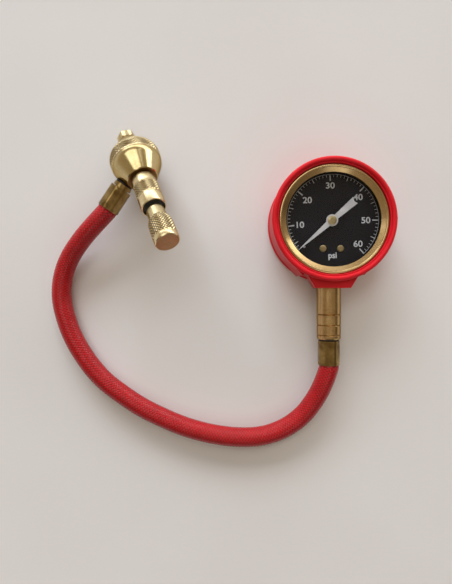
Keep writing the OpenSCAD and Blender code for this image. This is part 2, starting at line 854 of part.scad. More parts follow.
module swivel_nut() {
    color("khaki") at_head() difference() {
        union() {
            nose();
            rotate_extrude() nut_profile();
        }
        translate([0, 0, -1]) cylinder(r = valve_thread_r, h = 12);
        translate([0, 0, -0.01]) cylinder(r1 = valve_thread_r + 0.6, r2 = valve_thread_r, h = 0.6);
        translate([0, 0, gasket_seat_s]) cylinder(r = 6, h = 4);
        translate([0, 0, cavity_s]) cylinder(r = cavity_r, h = 20);
        translate([0, 0, snap_ring_s - 0.1]) cylinder(r = snap_groove_r, h = 1.2);
    }
}

module valve_gasket() {
    color("black") at_head(gasket_seat_s) ring(2.95, 6, 2);
}

// Cone that faces the sleeve: rolled over at the seam, then straight to its small end
module body_profile() {
    half_angle = 28;
    roll_at = nut_r - 0.4 - body_roll_r;
    tangent_s = seam_s + body_roll_r * sin(half_angle);
    tangent_r = roll_at + body_roll_r * cos(half_angle);
    end_r = tangent_r - (body_end_s - tangent_s) * tan(half_angle);
    polygon([[0, seam_s], [roll_at, seam_s], [tangent_r, tangent_s],
        [end_r + 0.2, body_end_s - 0.4], [end_r - 0.3, body_end_s], [0, body_end_s]]);
    intersection() {
        translate([roll_at, seam_s]) circle(r = body_roll_r);
        polygon([[roll_at, seam_s], [20, seam_s], [20, tangent_s + 0.5], [tangent_r, tangent_s]]);
    }
}

module valve_body() {
    color("khaki") difference() {
        at_head() difference() {
            union() {
                rotate_extrude() body_profile();
                translate([0, 0, spigot_s]) cylinder(r = spigot_body_r, h = 20);
            }
            translate([0, 0, swivel_oring_s - 1.1]) ring(6.2, 10, 2.2);
            translate([0, 0, snap_ring_s - 0.1]) ring(7.2, 10, 1.2);
            cylinder(r = passage_r, h = 50);
            translate([0, 0, barrel_thread_s]) cylinder(r = 5, h = 10);
        }
        at_port(port_seat) cylinder(r = 6.4, h = 10);
        at_port(port_thread_start) cylinder(r = spigot_r, h = 10);
        at_port() cylinder(r = 1.5, h = 12);
    }
}

module swivel_oring() {
    color("black") at_head(swivel_oring_s) oring(6.2, 1.8);
}

module snap_ring() {
    color("silver") at_head(snap_ring_s) difference() {
        ring(7.2, 8.7, 1);
        translate([0, -1, -1]) cube([10, 2, 3]);
    }
}

// Neck tube that the sleeve slides on, with its ring of vent holes
module barrel() {
    color("khaki") at_head() difference() {
        union() {
            translate([0, 0, barrel_thread_s]) cylinder(r = 5, h = 10);
            translate([0, 0, body_end_s]) cylinder(r = barrel_r, h = barrel_end_s - body_end_s);
        }
        translate([0, 0, barrel_thread_s - 1])
            cylinder(r = barrel_bore_r, h = web_s + 1 - barrel_thread_s);
        translate([0, 0, web_s - 1]) cylinder(r = rod_r + 0.3, h = 4);
        translate([0, 0, gland_seat_s]) cylinder(r = gland_r, h = 10);
        for (s = sleeve_oring_places) translate([0, 0, s - 1]) ring(4.75, 8, 2);
        translate([0, 0, stop_ring_s]) ring(5.85, 8, 1);
        for (a = [0:90:270]) rotate([0, 0, a]) translate([0, 0, vent_s]) rotate([0, 90, 0])
            cylinder(r = 1.2, h = 8);
    }
}

module slide_sleeve() {
    r = sleeve_r;
    color("khaki") at_head() turned([
        [sleeve_bore_r, sleeve_start_s], [r - 0.5, sleeve_start_s], [r, sleeve_start_s + 0.5],
        [r, sleeve_groove_s - 0.4], [r - 0.35, sleeve_groove_s], [r, sleeve_groove_s + 0.4],
        [r, sleeve_end_s - 0.8],
        [r - 0.35, sleeve_end_s], [sleeve_mouth_r, sleeve_end_s], [sleeve_mouth_r, sleeve_step_s],
        [sleeve_bore_r, sleeve_step_s]]);
}

module sleeve_orings() {
    color("black") for (s = sleeve_oring_places) at_head(s) oring(4.75, oring_d);
}

module sleeve_stop_ring() {
    color("silver") at_head(stop_ring_s) difference() {
        ring(5.85, 6.8, 1);
        translate([0, -1, -1]) cube([10, 2, 3]);
    }
}

module rod_gland() {
    color("black") at_head() turned([
        [rod_r + run_fit, gland_seat_s + rod_oring_d], [gland_r, gland_seat_s + rod_oring_d],
        [gland_r, barrel_end_s], [6.2, barrel_end_s],
        [6.2, gland_end_s - 0.3], [5.9, gland_end_s], [rod_r + run_fit, gland_end_s]]);
}

module rod_oring() {
    color("black") at_head(gland_seat_s + rod_oring_d / 2)
        oring(gland_r - rod_oring_d, rod_oring_d);
}

// Rod that carries the core socket, with a groove for the ring that stops it at the web
rod_groove_s = web_s - tool_out - 1 - 2 * run_fit;

module core_rod() {
    color("gainsboro") at_head() difference() {
        turned([[0, rod_tip_s], [rod_tip_r, rod_tip_s], [rod_tip_r, rod_shoulder_s],
            [rod_r, rod_shoulder_s], [rod_r, knob_start_s], [2, knob_start_s],
            [2, knob_start_s + knob_socket_depth], [0, knob_start_s + knob_socket_depth]]);
        translate([0, 0, rod_groove_s]) ring(2, 4, 1.1);
    }
}

module rod_stop_ring() {
    color("silver") at_head(rod_groove_s + run_fit) difference() {
        ring(2 + run_fit, passage_r - run_fit, 1);
        translate([0, -0.6, -1]) cube([5, 1.2, 3]);
    }
}

// Slotted socket that grips the valve core
module core_socket() {
    color("goldenrod") at_head() difference() {
        turned([[1.9, socket_end_s], [2.2, socket_end_s], [rod_r, socket_end_s + 0.4],
            [rod_r, rod_shoulder_s], [rod_tip_r, rod_shoulder_s], [rod_tip_r, rod_shoulder_s - 3],
            [1.9, rod_shoulder_s - 3]]);
        translate([-4, -0.5, socket_end_s - 1.5]) cube([8, 1, 3.1]);
        translate([0, 0, grip_ring_s - 0.4]) ring(1, 2.2, 0.8);
    }
}

module core_grip_ring() {
    color("black") at_head(grip_ring_s) oring(1.45, 0.7);
}

module knob() {
    r = knob_r;
    color("khaki") at_head() difference() {
        turned([[0, knob_start_s], [knob_neck_r - 0.4, knob_start_s],
            [knob_neck_r, knob_start_s + 0.4], [knob_neck_r, knob_flare_s],
            [r - 0.8, knob_flare_s + 2.2], [r - 0.2, knob_flare_s + 4.2], [r, knob_flare_s + 6.4],
            [r, knob_end_s - 3.4], [r - 0.25, knob_end_s - 3.2], [r, knob_end_s - 3],
            [r, knob_end_s - 0.9], [r - 0.7, knob_end_s], [0, knob_end_s]]);
        translate([0, 0, knob_start_s - 1]) cylinder(r = 2, h = knob_socket_depth + 1);
    }
}

// ---- Nodes ----

boot();
case();
case_screws();
bezel();
lens();
lens_gasket();
dial();
dial_spacers();
dial_screws();
stop_pin();
pointer();
pointer_hub();
pinion_arbor();
sector_gear();
sector_shaft();
sector_link_pin();
link();
tube_tip();
tip_link_pin();
bourdon_tube();
hairspring();
spring_stud();
back_plate();
front_plate();
plate_pillars();
plate_screws();
movement_screws();
socket();
restrictor();
gauge_adapter();
gauge_oring();
gauge_barb();
gauge_ferrule();
hose();
head_ferrule();
head_barb();
port_oring();
valve_body();
swivel_nut();
valve_gasket();
swivel_oring();
snap_ring();
barrel();
slide_sleeve();
sleeve_orings();
sleeve_stop_ring();
rod_gland();
rod_oring();
core_rod();
rod_stop_ring();
core_socket();
core_grip_ring();
knob();
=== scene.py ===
"""Tyre deflator with pressure gauge: looks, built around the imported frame."""

import json
import math

import bpy
import numpy as np
from mathutils import Matrix, Vector

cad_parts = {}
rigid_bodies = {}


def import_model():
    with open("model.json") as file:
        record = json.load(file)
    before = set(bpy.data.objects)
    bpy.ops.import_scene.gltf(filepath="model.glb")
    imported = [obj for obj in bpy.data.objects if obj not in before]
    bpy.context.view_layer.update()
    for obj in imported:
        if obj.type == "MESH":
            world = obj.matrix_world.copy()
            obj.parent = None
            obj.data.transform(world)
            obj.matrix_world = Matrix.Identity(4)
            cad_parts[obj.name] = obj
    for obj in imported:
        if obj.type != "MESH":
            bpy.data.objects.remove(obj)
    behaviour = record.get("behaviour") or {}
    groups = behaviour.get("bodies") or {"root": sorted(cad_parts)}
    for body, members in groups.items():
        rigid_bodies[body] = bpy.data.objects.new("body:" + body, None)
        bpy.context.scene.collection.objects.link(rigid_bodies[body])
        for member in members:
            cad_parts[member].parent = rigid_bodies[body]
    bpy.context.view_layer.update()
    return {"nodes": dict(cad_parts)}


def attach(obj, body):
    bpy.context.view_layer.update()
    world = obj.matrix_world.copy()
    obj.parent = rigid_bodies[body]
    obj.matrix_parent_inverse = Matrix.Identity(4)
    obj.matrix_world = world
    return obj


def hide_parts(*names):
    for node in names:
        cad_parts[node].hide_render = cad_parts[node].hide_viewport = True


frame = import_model()
NODES = frame["nodes"]

# Sizes are written in millimetres; the lamp's and the table's are in metres
MM = 0.001

# The pressure head's own frame: Z runs from the nut's open end to the knob
HEAD_PLACE = Vector((-133.2, 59.1, 4.6)) * MM
HEAD_TURN = (0.0, math.radians(60), math.radians(-65.8))
HEAD_MATRIX = Matrix.Rotation(HEAD_TURN[2], 4, "Z") @ Matrix.Rotation(HEAD_TURN[1], 4, "Y")

# The stem's own frame: Z runs from the gauge's centre out along the stem
STEM_PLACE = Vector((0, 0, 14.5)) * MM
STEM_TURN = (math.radians(90), 0.0, 0.0)


# ---- Camera and room ----

PICTURE_HEIGHT = 584
FOCAL_PIXELS = 453
SENSOR_WIDTH = 36
CAMERA_PLACE = Vector((-66.3, -44.8, 307)) * MM
OBJECT_MIDDLE = Vector((-70, -30, 10)) * MM
LAMP_AZIMUTH = 102
LAMP_ELEVATION = 24
LAMP_DISTANCE = 6.0
LAMP_SIZE = (4.5, 2.0)
LAMP_POWER = 370
LAMP_COLOUR = (0.78, 0.87, 0.99)


def set_camera():
    data = bpy.data.cameras.new("camera")
    data.sensor_width = SENSOR_WIDTH
    data.lens = SENSOR_WIDTH * FOCAL_PIXELS / PICTURE_HEIGHT
    camera = bpy.data.objects.new("camera", data)
    camera.location = CAMERA_PLACE
    bpy.context.scene.collection.objects.link(camera)
    bpy.context.scene.camera = camera


def compass(azimuth, elevation):
    """A way to look, from its compass angle off +X and its height above the table."""
    turn, rise = math.radians(azimuth), math.radians(elevation)
    return Vector((math.cos(turn) * math.cos(rise), math.sin(turn) * math.cos(rise), math.sin(rise)))


def window_lamp():
    """The soft light of the window, on the middle of the object; what the window looks like in
    the metal is left to the room's openings."""
    data = bpy.data.lights.new("window", "AREA")
    data.shape = "RECTANGLE"
    data.size, data.size_y = LAMP_SIZE
    data.energy = LAMP_POWER
    data.color = LAMP_COLOUR
    lamp = bpy.data.objects.new("window", data)
    way = compass(LAMP_AZIMUTH, LAMP_ELEVATION)
    lamp.location = OBJECT_MIDDLE + way * LAMP_DISTANCE
    lamp.rotation_euler = way.to_track_quat("Z", "Y").to_euler()
    lamp.visible_glossy = False
    bpy.context.scene.collection.objects.link(lamp)


WALL_FOOT = (0.58, 0.55, 0.53)
LOW_WALL = (0.45, 0.36, 0.25)
WALL = (0.34, 0.27, 0.185)
CEILING = (0.36, 0.29, 0.21)
# Azimuth of the middle, half width, lowest and highest elevation and soft edge, in degrees, and
# colour; the first is the shade of the near side
OPENINGS = [
    (285, 75, 22, 26, 22, (0.10, 0.075, 0.05)),
    (112, 44, 53, 68, 6, (2.3, 2.3, 2.25)),
    (38, 8, -20, 21, 5, (4.4, 4.35, 4.1)),
    (61, 15, -20, 21, 5, (2.9, 2.87, 2.75)),
    (91, 16, -20, 22, 6, (2.4, 2.4, 2.35)),
    (120, 13, -20, 18, 6, (2.0, 2.02, 2.05)),
    (117, 8, 4, 17, 7, (4.0, 4.05, 4.1)),
    (57, 4, 36, 50, 3, (1.3, 1.3, 1.28)),
    (286, 12, 50, 66, 8, (1.9, 1.9, 1.85)),
]


def opening_share(tree, x, y, height, azimuth, half, low, high, soft):
    """1 inside an opening's edges, and down to 0 over the soft degrees outside them."""
    turn = math.radians(azimuth)
    along = maths(tree, "ADD", maths(tree, "MULTIPLY", x, math.cos(turn)),
                  maths(tree, "MULTIPLY", y, math.sin(turn)))
    aside = maths(tree, "SUBTRACT", maths(tree, "MULTIPLY", y, math.cos(turn)),
                  maths(tree, "MULTIPLY", x, math.sin(turn)))
    off = degrees(tree, maths(tree, "ABSOLUTE", maths(tree, "ARCTAN2", aside, along)))
    across = fade(tree, off, half + soft, half)
    up = maths(tree, "MULTIPLY", fade(tree, height, high + soft, high),
               fade(tree, height, low - soft, low))
    return maths(tree, "MULTIPLY", across, up)


def set_world():
    """A dim brown room, pale at the foot of its walls, with a near side in shade and bright
    openings: a wide window behind the object, and smaller ones."""
    world = bpy.data.worlds.new("room")
    world.use_nodes = True
    bpy.context.scene.world = world
    tree = world.node_tree
    x, y, z = split_xyz(tree, tree.nodes.new("ShaderNodeTexCoord").outputs["Generated"])
    height = degrees(tree, maths(tree, "ARCSINE", z))
    walls = [(0, WALL_FOOT), (10, WALL_FOOT), (20, LOW_WALL), (40, WALL), (90, CEILING)]
    light = ramp(tree, height, walls, 0, 90)
    for *edges, colour in OPENINGS:
        light = mixed(tree, opening_share(tree, x, y, height, *edges), light, colour)
    background = tree.nodes["Background"]
    background.inputs["Strength"].default_value = 1
    tree.links.new(light, background.inputs["Color"])


# ---- Shader helpers ----

def ramp(tree, factor, stops, low=0.0, high=1.0):
    """Colour by factor, through stops of (factor, colour)."""
    if (low, high) != (0.0, 1.0):
        span = tree.nodes.new("ShaderNodeMapRange")
        span.inputs["From Min"].default_value = low
        span.inputs["From Max"].default_value = high
        tree.links.new(factor, span.inputs["Value"])
        factor = span.outputs["Result"]
        stops = [((place - low) / (high - low), colour) for place, colour in stops]
    node = tree.nodes.new("ShaderNodeValToRGB")
    tree.links.new(factor, node.inputs["Fac"])
    points = node.color_ramp.elements
    while len(points) < len(stops):
        points.new(0.5)
    for point, (place, colour) in zip(points, stops):
        point.position = place
        point.color = (*colour, 1)
    return node.outputs["Color"]


def mixed(tree, share, base, over):
    """The base colour with the colour over it, as far as share says; over is written out."""
    node = tree.nodes.new("ShaderNodeMix")
    node.data_type = "RGBA"
    tree.links.new(share, node.inputs["Factor"])
    tree.links.new(base, node.inputs[6])
    node.inputs[7].default_value = (*over, 1)
    return node.outputs[2]


def split_xyz(tree, vector):
    node = tree.nodes.new("ShaderNodeSeparateXYZ")
    tree.links.new(vector, node.inputs[0])
    return [node.outputs[i] for i in range(3)]


def fade(tree, value, nothing, full):
    """0 where the value is at nothing, 1 where it is at full, smooth in between."""
    node = tree.nodes.new("ShaderNodeMapRange")
    node.interpolation_type = "SMOOTHSTEP"
    node.inputs["From Min"].default_value = nothing
    node.inputs["From Max"].default_value = full
    tree.links.new(value, node.inputs["Value"])
    return node.outputs["Result"]


def maths(tree, operation, first, second=None):
    """A Math node on one or two values, each a socket or a plain number."""
    node = tree.nodes.new("ShaderNodeMath")
    node.operation = operation
    for socket, value in zip(node.inputs, (first, second)):
        if value is None:
            continue
        if isinstance(value, (int, float)):
            socket.default_value = value
        else:
            tree.links.new(value, socket)
    return node.outputs[0]


def degrees(tree, angle):
    return maths(tree, "MULTIPLY", angle, 180 / math.pi)


def spread_rough(tree, shader, factor, least, most):
    """Lets the roughness vary with the factor, between the two values."""
    node = tree.nodes.new("ShaderNodeMapRange")
    node.inputs["To Min"].default_value = least
    node.inputs["To Max"].default_value = most
    tree.links.new(factor, node.inputs["Value"])
    tree.links.new(node.outputs["Result"], shader.inputs["Roughness"])


def noise(tree, vector, scale, detail=3.0, flat=False):
    """Soft random grain; flat reads one number instead of a place."""
    node = tree.nodes.new("ShaderNodeTexNoise")
    node.inputs["Scale"].default_value = scale
    node.inputs["Detail"].default_value = detail
    if flat:
        node.noise_dimensions = "1D"
        tree.links.new(vector, node.inputs["W"])
    else:
        tree.links.new(vector, node.inputs["Vector"])
    return node.outputs["Fac"]


def bump(tree, shader, height, strength, depth):
    """Raises the surface where the height is high, by depth in millimetres at most."""
    node = tree.nodes.new("ShaderNodeBump")
    node.inputs["Strength"].default_value = strength
    node.inputs["Distance"].default_value = depth * MM
    tree.links.new(height, node.inputs["Height"])
    tree.links.new(node.outputs["Normal"], shader.inputs["Normal"])


def material(name, metal, rough, **sockets):
    """A new material, its tree and its shader, with the plain numbers set on the shader."""
    made = bpy.data.materials.new(name)
    made.use_nodes = True
    tree = made.node_tree
    shader = tree.nodes["Principled BSDF"]
    shader.inputs["Metallic"].default_value = metal
    shader.inputs["Roughness"].default_value = rough
    for key, value in sockets.items():
        shader.inputs[key.replace("_", " ")].default_value = value
    return made, tree, shader


def place_of(tree):
    return tree.nodes.new("ShaderNodeTexCoord").outputs["Object"]


def in_frame(tree, place, turn):
    """Object coordinates seen from a turned piece's own frame."""
    node = tree.nodes.new("ShaderNodeMapping")
    node.vector_type = "TEXTURE"
    node.inputs["Location"].default_value = place
    node.inputs["Rotation"].default_value = turn
    tree.links.new(place_of(tree), node.inputs["Vector"])
    return node.outputs["Vector"]


# ---- Finishes ----

# Painted shade in the valleys of a knurl: its colour, and a power that keeps it to the deepest part
KNURL_VALLEY_SHADE = (0.04, 0.022, 0.008)
VALLEY_SHADE_POWER = 2.2
EDGE_TINT = (0.45, 0.36, 0.26, 1)


def turned_metal(name, light, dark, rough, place=(0, 0, 0), turn=(0, 0, 0)):
    """Turned metal: fine tool lines round the piece's axis, a slight uneven tarnish, and
    painted shade in the valleys of its knurl."""
    made, tree, shader = material(name, 1.0, rough)
    vector = in_frame(tree, place, turn)
    x, y, z = split_xyz(tree, vector)
    radius = maths(tree, "SQRT", maths(tree, "ADD", maths(tree, "MULTIPLY", x, x),
                                       maths(tree, "MULTIPLY", y, y)))
    lines = noise(tree, maths(tree, "ADD", z, radius), scale=5200, detail=2.0, flat=True)
    cloud = noise(tree, vector, scale=90, detail=4.0)
    fine = noise(tree, vector, scale=900, detail=2.0)
    tarnish = maths(tree, "ADD", maths(tree, "MULTIPLY", cloud, 0.7),
                    maths(tree, "MULTIPLY", fine, 0.3))
    tone = ramp(tree, tarnish, [(0.35, dark), (0.62, light)])
    valley = tree.nodes.new("ShaderNodeAttribute")
    valley.attribute_name = "valley"
    valley_shade = maths(tree, "POWER", valley.outputs["Fac"], VALLEY_SHADE_POWER)
    # Painted shade: the knurl's valleys are darkened towards the valley shade colour
    tree.links.new(mixed(tree, valley_shade, tone, KNURL_VALLEY_SHADE), shader.inputs["Base Color"])
    spread_rough(tree, shader, lines, rough * 0.75, rough * 1.35)
    bump(tree, shader, lines, strength=0.12, depth=0.03)
    shader.inputs["Specular Tint"].default_value = EDGE_TINT
    brush_round(tree, shader, x, y, turn)
    return made


def brush_round(tree, shader, x, y, turn):
    """Stretches the highlights across tool lines that run round the turned axis."""
    shader.inputs["Anisotropic"].default_value = 0.6
    shader.inputs["Anisotropic Rotation"].default_value = 0.25
    across = tree.nodes.new("ShaderNodeCombineXYZ")
    tree.links.new(maths(tree, "MULTIPLY", y, -1.0), across.inputs[0])
    tree.links.new(x, across.inputs[1])
    turned = tree.nodes.new("ShaderNodeVectorRotate")
    turned.rotation_type = "EULER_XYZ"
    turned.inputs["Rotation"].default_value = turn
    tree.links.new(across.outputs[0], turned.inputs["Vector"])
    tree.links.new(turned.outputs[0], shader.inputs["Tangent"])


def head_metal(name, light, dark, rough):
    """Metal turned about the pressure head's axis."""
    return turned_metal(name, light, dark, rough, HEAD_PLACE, HEAD_TURN)


def cast_metal(name, light, dark, rough, grain=0.4, scale=700, metal=1.0):
    """Metal with no turned lines: pressed, drawn, crimped or painted silver."""
    made, tree, shader = material(name, metal, rough)
    vector = place_of(tree)
    cloud = noise(tree, vector, scale=130, detail=4.0)
    fine = noise(tree, vector, scale)
    tree.links.new(ramp(tree, cloud, [(0.35, dark), (0.65, light)]), shader.inputs["Base Color"])
    bump(tree, shader, fine, grain, depth=0.05)
    return made


def rubber(name, light, dark, rough, grain, specular=0.5):
    """Moulded rubber or plastic with a soft grain."""
    made, tree, shader = material(name, 0.0, rough, Specular_IOR_Level=specular)
    vector = place_of(tree)
    cloud = noise(tree, vector, scale=60, detail=5.0)
    fine = noise(tree, vector, scale=1500)
    tree.links.new(ramp(tree, cloud, [(0.3, dark), (0.7, light)]), shader.inputs["Base Color"])
    spread_rough(tree, shader, cloud, rough * 0.85, rough * 1.2)
    bump(tree, shader, fine, grain, depth=0.06)
    return made


# Painted shade in the braid's gaps, the yarn's own red, and a painted highlight on the strands' crowns
BRAID_GAP_SHADE = (0.02, 0.0004, 0.0008)
BRAID_RED = (0.23, 0.001, 0.003)
BRAID_CROWN_HIGHLIGHT = (0.55, 0.004, 0.010)
YARNS = 5


def braid_finish():
    """Glossy woven yarn: two sets of strands that pass over and under each other, with painted shade in
    the gaps and a painted highlight on the crowns.
    """
    made, tree, shader = material("red_braid", 0.0, 0.22, Specular_IOR_Level=0.45)
    uv = tree.nodes.new("ShaderNodeUVMap")
    uv.uv_map = "braid"
    u, v, _ = split_xyz(tree, uv.outputs["UV"])
    right, left = maths(tree, "ADD", u, v), maths(tree, "SUBTRACT", u, v)
    cells = maths(tree, "ADD", maths(tree, "FLOOR", right), maths(tree, "FLOOR", left))
    odd = maths(tree, "FLOORED_MODULO", cells, 2.0)
    even = maths(tree, "SUBTRACT", 1.0, odd)
    across = maths(tree, "ADD", maths(tree, "MULTIPLY", maths(tree, "FRACT", left), odd),
                   maths(tree, "MULTIPLY", maths(tree, "FRACT", right), even))
    wave = maths(tree, "SINE", maths(tree, "MULTIPLY", across, math.pi * YARNS))
    yarn = maths(tree, "ABSOLUTE", wave)
    side = maths(tree, "SUBTRACT", maths(tree, "MULTIPLY", across, 2.0), 1.0)
    crown = maths(tree, "SUBTRACT", 1.0, maths(tree, "MULTIPLY", side, side))
    height = maths(tree, "ADD", maths(tree, "MULTIPLY", crown, 0.7),
                   maths(tree, "MULTIPLY", yarn, 0.3))
    patch = noise(tree, place_of(tree), scale=220)
    shade = maths(tree, "ADD", maths(tree, "MULTIPLY", height, 0.75),
                  maths(tree, "MULTIPLY", patch, 0.25))
    # Darker in the gaps (painted shade) and lighter on the crowns (painted highlight), by the strands'
    # height
    tree.links.new(ramp(tree, shade, [(0.10, BRAID_GAP_SHADE), (0.45, BRAID_RED), (0.9, BRAID_CROWN_HIGHLIGHT)]),
                   shader.inputs["Base Color"])
    bump(tree, shader, height, strength=0.25, depth=0.25)
    return made


GLASS_DARK = (0.010, 0.011, 0.013)
GLASS_LIGHT = (0.016, 0.017, 0.020)


def window_finish():
    """Clear glass: nearly see-through, with a faint reflection of the room."""
    made, tree, shader = material("clear_glass", 0.0, 0.04, IOR=2.0, Alpha=0.10)
    smear = noise(tree, place_of(tree), scale=45)
    tree.links.new(ramp(tree, smear, [(0.3, GLASS_DARK), (0.7, GLASS_LIGHT)]), shader.inputs["Base Color"])
    return made


BRIGHT_BRASS = turned_metal("bright_brass", light=(0.60, 0.43, 0.22), dark=(0.48, 0.33, 0.15),
                            rough=0.22)
HEAD_BRASS = head_metal("head_brass", light=(0.68, 0.55, 0.29), dark=(0.57, 0.44, 0.21), rough=0.18)
# A paler copy of the head's brass: painted highlight on the knurled nut, the sleeve and the knob
PALE_HIGHLIGHT_BRASS = head_metal("pale_highlight_brass", light=(0.92, 0.78, 0.49), dark=(0.80, 0.66, 0.38), rough=0.22)
# A dark copy of the head's brass: painted shade in the gap round the barrel and on the valve body's end
# face
SHADY_BRASS = head_metal("shady_brass", light=(0.27, 0.16, 0.06), dark=(0.19, 0.11, 0.035), rough=0.36)
# A darker copy of the head's brass: painted shade on the knob's flat end
END_SHADE_BRASS = head_metal("end_shade_brass", light=(0.46, 0.28, 0.15), dark=(0.34, 0.20, 0.10), rough=0.36)
STEM_BRASS = turned_metal("stem_brass", light=(0.60, 0.42, 0.20), dark=(0.48, 0.31, 0.14),
                          rough=0.22, place=STEM_PLACE, turn=STEM_TURN)
CRIMPED_BRASS = cast_metal("crimped_brass", light=(0.42, 0.29, 0.11), dark=(0.18, 0.11, 0.035),
                           rough=0.28)
PLAIN_BRASS = cast_metal("plain_brass", light=(0.66, 0.56, 0.32), dark=(0.50, 0.40, 0.20),
                         rough=0.38)
BRONZE = cast_metal("bronze_tube", light=(0.70, 0.44, 0.26), dark=(0.48, 0.28, 0.15), rough=0.34)
STEEL = cast_metal("steel", light=(0.55, 0.55, 0.56), dark=(0.40, 0.40, 0.42), rough=0.35)
BRIGHT_ROD = head_metal("bright_rod", light=(0.75, 0.75, 0.76), dark=(0.60, 0.60, 0.62), rough=0.18)
SILVER = cast_metal("pointer_silver", light=(0.80, 0.81, 0.83), dark=(0.66, 0.67, 0.70),
                    rough=0.5, grain=0.3, scale=1600, metal=0.35)
RED_RUBBER = rubber("red_rubber", light=(0.65, 0.008, 0.018), dark=(0.53, 0.005, 0.011),
                    rough=0.38, grain=0.25, specular=0.25)
BLACK_RUBBER = rubber("black_rubber", light=(0.020, 0.020, 0.021), dark=(0.010, 0.010, 0.011),
                      rough=0.5, grain=0.5)
BLACK_PLASTIC = rubber("black_plastic", light=(0.018, 0.018, 0.019), dark=(0.009, 0.009, 0.010),
                       rough=0.35, grain=0.2)
DIAL_BLACK = rubber("dial_black", light=(0.008, 0.008, 0.012), dark=(0.005, 0.005, 0.008),
                    rough=0.5, grain=0.04, specular=0.15)
MARK_WHITE = rubber("mark_white", light=(0.66, 0.67, 0.68), dark=(0.58, 0.59, 0.60),
                    rough=0.5, grain=0.1, specular=0.2)
GLASS = window_finish()
RED_BRAID = braid_finish()

NODE_FINISHES = {
    RED_RUBBER: ["boot"],
    BRIGHT_BRASS: ["case", "bezel"],
    HEAD_BRASS: ["valve_body", "swivel_nut", "core_socket"],
    PALE_HIGHLIGHT_BRASS: ["slide_sleeve", "knob"],
    # Painted shade in the narrow gap between the valve body and the sleeve
    SHADY_BRASS: ["barrel"],
    STEM_BRASS: ["gauge_adapter", "gauge_barb", "socket", "restrictor"],
    CRIMPED_BRASS: ["gauge_ferrule", "head_ferrule", "head_barb"],
    PLAIN_BRASS: ["dial_screws", "pointer_hub", "pinion_arbor", "sector_gear", "tube_tip", "back_plate",
                  "front_plate", "plate_pillars", "dial_spacers", "spring_stud"],
    BRONZE: ["bourdon_tube", "hairspring"],
    STEEL: ["case_screws", "stop_pin", "sector_shaft", "sector_link_pin", "link", "tip_link_pin",
            "plate_screws", "movement_screws", "snap_ring", "sleeve_stop_ring", "rod_stop_ring"],
    BRIGHT_ROD: ["core_rod"],
    SILVER: ["pointer"],
    GLASS: ["lens"],
    DIAL_BLACK: ["dial"],
    BLACK_RUBBER: ["lens_gasket", "gauge_oring", "port_oring", "valve_gasket", "swivel_oring",
                   "sleeve_orings", "rod_oring", "core_grip_ring"],
    BLACK_PLASTIC: ["rod_gland"],
    RED_BRAID: ["hose"],
}


def dress(obj, finish):
    obj.data.materials.clear()
    obj.data.materials.append(finish)


END_SLACK = 0.3
END_FACING = 0.9


def shade_end(obj, height, finish):
    """Gives the flat end of a turned piece, so far along the head's axis, a darker finish: painted shade
    on that end face.
    """
    obj.data.materials.append(finish)
    axis = HEAD_MATRIX.to_3x3() @ Vector((0, 0, 1))
    for polygon in obj.data.polygons:
        along = (obj.matrix_world @ polygon.center - HEAD_PLACE).dot(axis)
        if abs(along - height * MM) < END_SLACK * MM and abs(polygon.normal.dot(axis)) > END_FACING:
            polygon.material_index = 1


# ---- Modelling helpers ----

WELD = 0.002
BAND_SLACK = 0.02


def clear_selection():
    if bpy.context.object is not None and bpy.context.object.mode != "OBJECT":
        bpy.ops.object.mode_set(mode="OBJECT")
    bpy.ops.object.select_all(action="DESELECT")


def edit(obj):
    clear_selection()
    bpy.context.view_layer.objects.active = obj
    obj.select_set(True)
    bpy.ops.object.mode_set(mode="EDIT")
    bpy.ops.mesh.select_mode(type="VERT")


def turn_up(name, profile, steps):
    """Turns a closed line of (radius, height) points, in millimetres, about the Z axis."""
    clear_selection()
    bpy.ops.mesh.primitive_plane_add(size=1 * MM)
    obj = bpy.context.object
    obj.name = name
    bpy.ops.object.mode_set(mode="EDIT")
    bpy.ops.mesh.merge(type="CENTER")
    here = Vector((profile[0][0], 0, profile[0][1])) * MM
    bpy.ops.transform.translate(value=here)
    for radius, height in profile[1:]:
        there = Vector((radius, 0, height)) * MM
        bpy.ops.mesh.extrude_vertices_move(TRANSFORM_OT_translate={"value": there - here})
        here = there
    bpy.ops.mesh.select_all(action="SELECT")
    bpy.ops.mesh.spin(steps=steps, angle=2 * math.pi, center=(0, 0, 0), axis=(0, 0, 1))
    bpy.ops.mesh.select_all(action="SELECT")
    bpy.ops.mesh.remove_doubles(threshold=WELD * MM)
    bpy.ops.mesh.normals_make_consistent(inside=False)
    bpy.ops.object.mode_set(mode="OBJECT")
    return obj


def smooth(obj, angle):
    clear_selection()
    bpy.context.view_layer.objects.active = obj
    obj.select_set(True)
    bpy.ops.object.shade_smooth_by_angle(angle=math.radians(angle))


def settle(obj, place, turn):
    """Puts a piece that was made about the Z axis where it belongs, in its mesh."""
    clear_selection()
    bpy.context.view_layer.objects.active = obj
    obj.select_set(True)
    obj.location = place
    obj.rotation_euler = turn
    bpy.ops.object.transform_apply(location=True, rotation=True, scale=True)


def line(start, end, count):
    """Points from start to end, both of them included, in count steps."""
    return [(start[0] + (end[0] - start[0]) * i / count, start[1] + (end[1] - start[1]) * i / count)
            for i in range(count + 1)]


def arc(centre, radius, start, end, count):
    """Points on a circle, from one angle to another in degrees, in count steps."""
    angles = [math.radians(start + (end - start) * i / count) for i in range(count + 1)]
    return [(centre[0] + radius * math.cos(angle), centre[1] + radius * math.sin(angle))
            for angle in angles]


